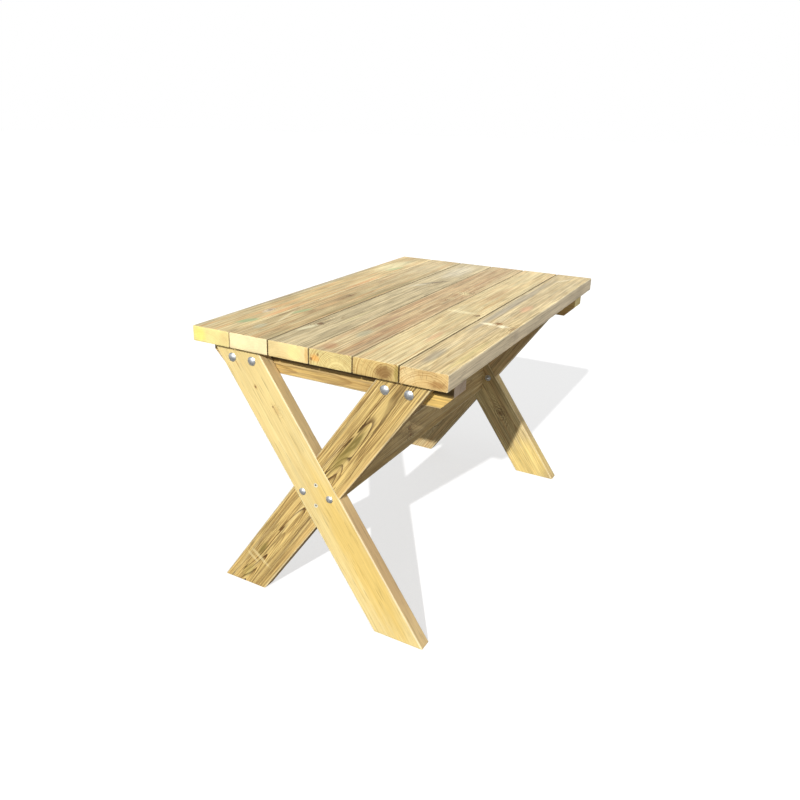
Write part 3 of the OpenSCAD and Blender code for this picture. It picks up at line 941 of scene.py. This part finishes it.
def shade(g, look, fibre, on_face):
    """How light each place is against its colour: blotches, fine fibres and pores."""
    blotch = g.step(fibre["Blotch"], 0.3, 0.7, 1.0 + look["blotches"] * 0.35, 1.0 - look["blotches"] * 0.5)
    fine = g.step(fibre["Fine"], 0.25, 0.75, 1.0 - look["fine"], 1.0 + look["fine"] * 0.6)
    fine = g.times_plus(g.minus(fine, 1.0), on_face, 1.0)
    pores = g.minus(1.0, g.times(fibre["Pores"], on_face, look["pores"]))
    tone = g.times(blotch, fine, pores)
    return g.join(tone, tone, tone)


def wood(timber):
    """The wood of one timber: rings from its own pith, then fibres, stains, knots and wear."""
    look = {**BASE_LOOK, **LOOKS.get(timber.node, {})}
    material, g, shader = new_material("wood_" + timber.node)
    coords = g.add("ShaderNodeTexCoord").outputs
    place = g.add("ShaderNodeMapping", {"Vector": coords["Object"], "Location": timber.middle,
                                        "Rotation": timber.turn}, vector_type="TEXTURE").outputs[0]
    stem, late, shown, knots = ring_parts(g, timber, look, place)
    fibre = g.group(FIBRE, position=place, seed=timber.seed)
    grain_axis = timber.turn.to_matrix() @ Vector((0, 1, 0))
    facing_end = g.step(g.math("ABSOLUTE", g.dot(coords["Normal"], grain_axis)), 0.55, 0.75)
    colour = g.blend(facing_end, face_colour(g, timber, look, place, fibre, late, shown, knots),
                     end_colour(g, timber, look, place, stem, late))
    colour, sheen = handled(g, timber, look, place, colour)
    tone = shade(g, look, fibre, g.times_plus(facing_end, -0.85, 1.0))
    rough = g.times_plus(fibre["Streak"], 0.24, look["rough"] - 0.12)
    height = g.minus(g.times_plus(late, 0.5, g.times(fibre["Fine"], 0.7)), fibre["Pores"])
    g.dress(shader, g.blend(1.0, colour, tone, "MULTIPLY"), g.plus(rough, g.times(facing_end, 0.15)),
            height, 0.35, 0.0006)
    level = shader.inputs["Specular IOR Level"]
    level.default_value = WOOD_SHEEN  # Stays behind a link, for whatever reads only plain values.
    g.put(level, sheen)
    return material


def zinc(name, light, dark, metallic, roughness, seed):
    """Zinc plate: spangled, a little dull and stained."""
    material, g, shader = new_material(name)
    shader.inputs["Metallic"].default_value = metallic
    place = seeded(g, g.add("ShaderNodeTexCoord").outputs["Object"], seed)
    cloud = g.noise(place, (160, 160, 160), 4.0, 0.6)
    grain = g.noise(place, (1500, 1500, 1500), 2.0)
    stain = g.step(g.noise(place, (330, 330, 330), 3.0), 0.56, 0.70)
    colour = g.blend(g.step(cloud, 0.35, 0.65), paint(light), paint(dark))
    g.dress(shader, g.tint(colour, "6a6558", stain, 0.35), g.times_plus(cloud, 0.25, roughness), grain,
            0.25, 0.0001)
    return material


# ---- The table ----

def leg_lean():
    """The lean of a leg from upright, from the frame's outer width and the leg's own width."""
    low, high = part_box("near_outer_leg")
    lean = 0.5
    for _ in range(40):
        lean = math.atan((high.x - low.x - LEG_W / math.cos(lean)) / (high.z - low.z))
    return lean


def box_size(node):
    low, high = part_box(node)
    return high - low


def list_timbers():
    """Every timber with its size, how it lies, and how its ends are cut."""
    for node in PLANKS:
        Timber(node, box_size(node))
    lean = leg_lean()
    low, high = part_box("near_outer_leg")
    length = (high.z - low.z) / math.cos(lean)
    for end in ENDS:
        for kind, way in (("outer", 1), ("inner", -1)):
            Timber("%s_%s_leg" % (end.name, kind), (LEG_W, length, end.thick),
                   (90, -way * math.degrees(lean), end.turn), -way * math.tan(lean),
                   way / math.tan(2 * lean), "leg_timber")
        size = box_size(end.name + "_bearer")
        Timber(end.name + "_bearer", (size.z, size.x, size.y), (90, 90, end.turn), slot="bearer_timber")
    size = box_size("stretcher")
    Timber("stretcher", (size.z, size.y, size.x), (0, -90, 0), slot="stretcher_timber")


def build_timber(node, *cuts):
    """Makes a timber and takes each of the cuts out of it in turn."""
    timber = TIMBERS[node]
    piece = new_object(node + "_blank", timber_mesh(timber))
    for cutters in cuts:
        carve(piece, cutters)
    mesh = piece.data
    bpy.data.objects.remove(piece)
    mesh.name = node
    finish_mesh(mesh)
    add_piece(node, mesh, wood(timber))


def lap(other, side):
    """The room that the other leg takes in one half of a leg's thickness."""
    cutters = bmesh.new()
    width, length, thick = other.size
    box = Matrix.Translation((0, 0, side * thick / 2))
    box = box @ Matrix.Diagonal((width + 2 * LAP_PLAY, length, thick, 1))
    bmesh.ops.create_cube(cutters, size=1.0, matrix=other.place @ box)
    return cutters


def wedges(timber):
    """The bevels under the two ends of a bearer."""
    cutters, past = bmesh.new(), BEVEL * 0.5
    low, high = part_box(timber.node)
    for side, corner in ((-1, low.x), (1, high.x)):
        reach = (BEVEL + past) * 2
        place = Matrix.Translation((corner + side * past, timber.middle.y, low.z - past))
        block = Matrix.Diagonal((reach, (high.y - low.y) * 2, reach, 1))
        bmesh.ops.create_cube(cutters, size=1.0, matrix=place @ Matrix.Rotation(math.pi / 4, 4, "Y") @ block)
    return cutters


def frame_timbers(end):
    """The two legs and the bearer of one crossed frame."""
    leg_bolts = (end.name + "_leg_bolts", LEG_BOLT_D, BOLT_PLAY)
    screws = end.name + "_stretcher_screws"
    holes = [leg_bolts, (end.name + "_cross_bolts", CROSS_BOLT_D, BOLT_PLAY), (screws, SCREW_D, SCREW_PLAY)]
    outer, inner, bearer = (end.name + kind for kind in ("_outer_leg", "_inner_leg", "_bearer"))
    build_timber(outer, lap(TIMBERS[inner], -1), bores(*holes), sinks(screws, (0, -end.inward, 0)))
    build_timber(inner, lap(TIMBERS[outer], 1), bores(*holes))
    screws = end.name + "_plank_screws"
    build_timber(bearer, wedges(TIMBERS[bearer]), bores(leg_bolts),
                 bores((screws, SCREW_D, SCREW_PLAY)), sinks(screws, (0, 0, -1)))


def bolt_sets(end):
    """The bolts, washers and nuts of one frame, each at the place of its CAD solid."""
    for kind, rod, pitch in (("leg", LEG_BOLT_D, PITCH_M10), ("cross", CROSS_BOLT_D, PITCH_M8)):
        name = "%s_%s_" % (end.name, kind)
        size, starts = end.solids_of(name + "bolts")
        head_h = abs(end.face - starts[0].y)
        points = [Vector((p.x, end.face, p.z)) for p in starts]
        fasteners(name + "bolts", "bolt", points, end.facing, head_diameter=size.x, head_height=head_h,
                  rod_diameter=rod, length=size.y - head_h, thread_length=THREAD_L, pitch=pitch)
        size, starts = end.solids_of(name + "washers")
        fasteners(name + "washers", "washer", starts, end.facing, outer_diameter=size.x,
                  hole_diameter=rod + 2 * BOLT_PLAY, thickness=size.y)
        size, starts = end.solids_of(name + "nuts")
        fasteners(name + "nuts", "nut", starts, end.facing, across_flats=min(size.x, size.z),
                  height=size.y, hole_diameter=rod + 2 * NUT_ROOM)


def screw_sets(end):
    """The screws of one frame into the stretcher and up into the planks."""
    sizes = dict(head_diameter=SCREW_HEAD_D, rod_diameter=SCREW_D, drive_width=DRIVE_W, drive_depth=DRIVE_H)
    node = end.name + "_stretcher_screws"
    size, starts = end.solids_of(node)
    points = [Vector((p.x, end.face, p.z)) for p in starts]
    fasteners(node, "screw", points, end.facing, length=size.y, **sizes)
    node = end.name + "_plank_screws"
    boxes = solids(node)
    points = [Vector(((low.x + high.x) / 2, (low.y + high.y) / 2, low.z)) for low, high in boxes]
    fasteners(node, "screw", points, (0, 0, 0), length=boxes[0][1].z - boxes[0][0].z, **sizes)


# ---- Stage ----

def floor():
    """A plain pale floor with a faint shadow. It lights the table as dry ground does."""
    material, g, shader = new_material("floor")
    seen = g.add("ShaderNodeLightPath").outputs["Is Camera Ray"]
    g.put(shader.inputs["Base Color"], g.blend(seen, (0.26, 0.25, 0.23, 1), (0.42, 0.42, 0.42, 1)))
    shader.inputs["Emission Color"].default_value = (1, 1, 1, 1)
    g.put(shader.inputs["Emission Strength"], g.times(seen, FLOOR_GLOW))
    shader.inputs["Roughness"].default_value = 0.9
    shader.inputs["Specular IOR Level"].default_value = 0.1
    mesh = bpy.data.meshes.new("floor")
    wide = 40.0
    mesh.from_pydata([(-wide, -wide, 0), (wide, -wide, 0), (wide, wide, 0), (-wide, wide, 0)], [],
                     [(0, 1, 2, 3)])
    mesh.materials.append(material)
    new_object("floor", mesh)


def light():
    """A lamp from the front, a broad soft one from the right, and an even white room."""
    for name, travel, power, width in (("front lamp", SUN_TRAVEL, SUN_POWER, 0.8),
                                       ("side lamp", SIDE_TRAVEL, SIDE_POWER, 60)):
        lamp = bpy.data.lights.new(name, "SUN")
        lamp.energy, lamp.angle = power, math.radians(width)
        made = new_object(name, lamp)
        made.rotation_euler = Vector(travel).to_track_quat("-Z", "Y").to_euler()
    world = bpy.data.worlds.new("room")
    world.use_nodes = True
    bpy.context.scene.world = world
    g = Graph(world.node_tree)
    rays = g.add("ShaderNodeLightPath").outputs
    background = g.tree.nodes["Background"]
    background.inputs["Color"].default_value = (1, 1, 1, 1)
    sheen = g.math("MAXIMUM", g.times(rays["Is Glossy Ray"], SHEEN_POWER), ROOM_POWER)
    g.put(background.inputs["Strength"], g.math("MAXIMUM", rays["Is Camera Ray"], sheen))
    bpy.context.scene.view_settings.view_transform = "Standard"


def camera():
    """The camera: a moderate wide angle, from the right of the near end and above the top."""
    data = bpy.data.cameras.new("camera")
    data.lens, data.sensor_width = 33.29, 36.0
    data.shift_x, data.shift_y = 0.0462, -0.0274
    made = new_object("camera", data)
    turn = Euler((math.radians(90 - CAMERA_TILT), 0, math.radians(CAMERA_TURN))).to_matrix().to_4x4()
    roll = Matrix.Rotation(math.radians(CAMERA_ROLL), 4, "Z")
    made.matrix_world = Matrix.Translation(CAMERA_PLACE) @ turn @ roll
    bpy.context.scene.camera = made


ZINC = zinc("bright_zinc", "dcdfe1", "b0b5ba", 0.92, 0.24, 1.0)
PALE_ZINC = zinc("pale_zinc", "dcd8c4", "c4bea6", 0.35, 0.50, 2.0)

list_timbers()
for node in PLANKS:
    build_timber(node, screw_bores("_plank_screws"))
build_timber("stretcher", screw_bores("_stretcher_screws"))
for end in ENDS:
    frame_timbers(end)
    bolt_sets(end)
    screw_sets(end)
floor()
light()
camera()
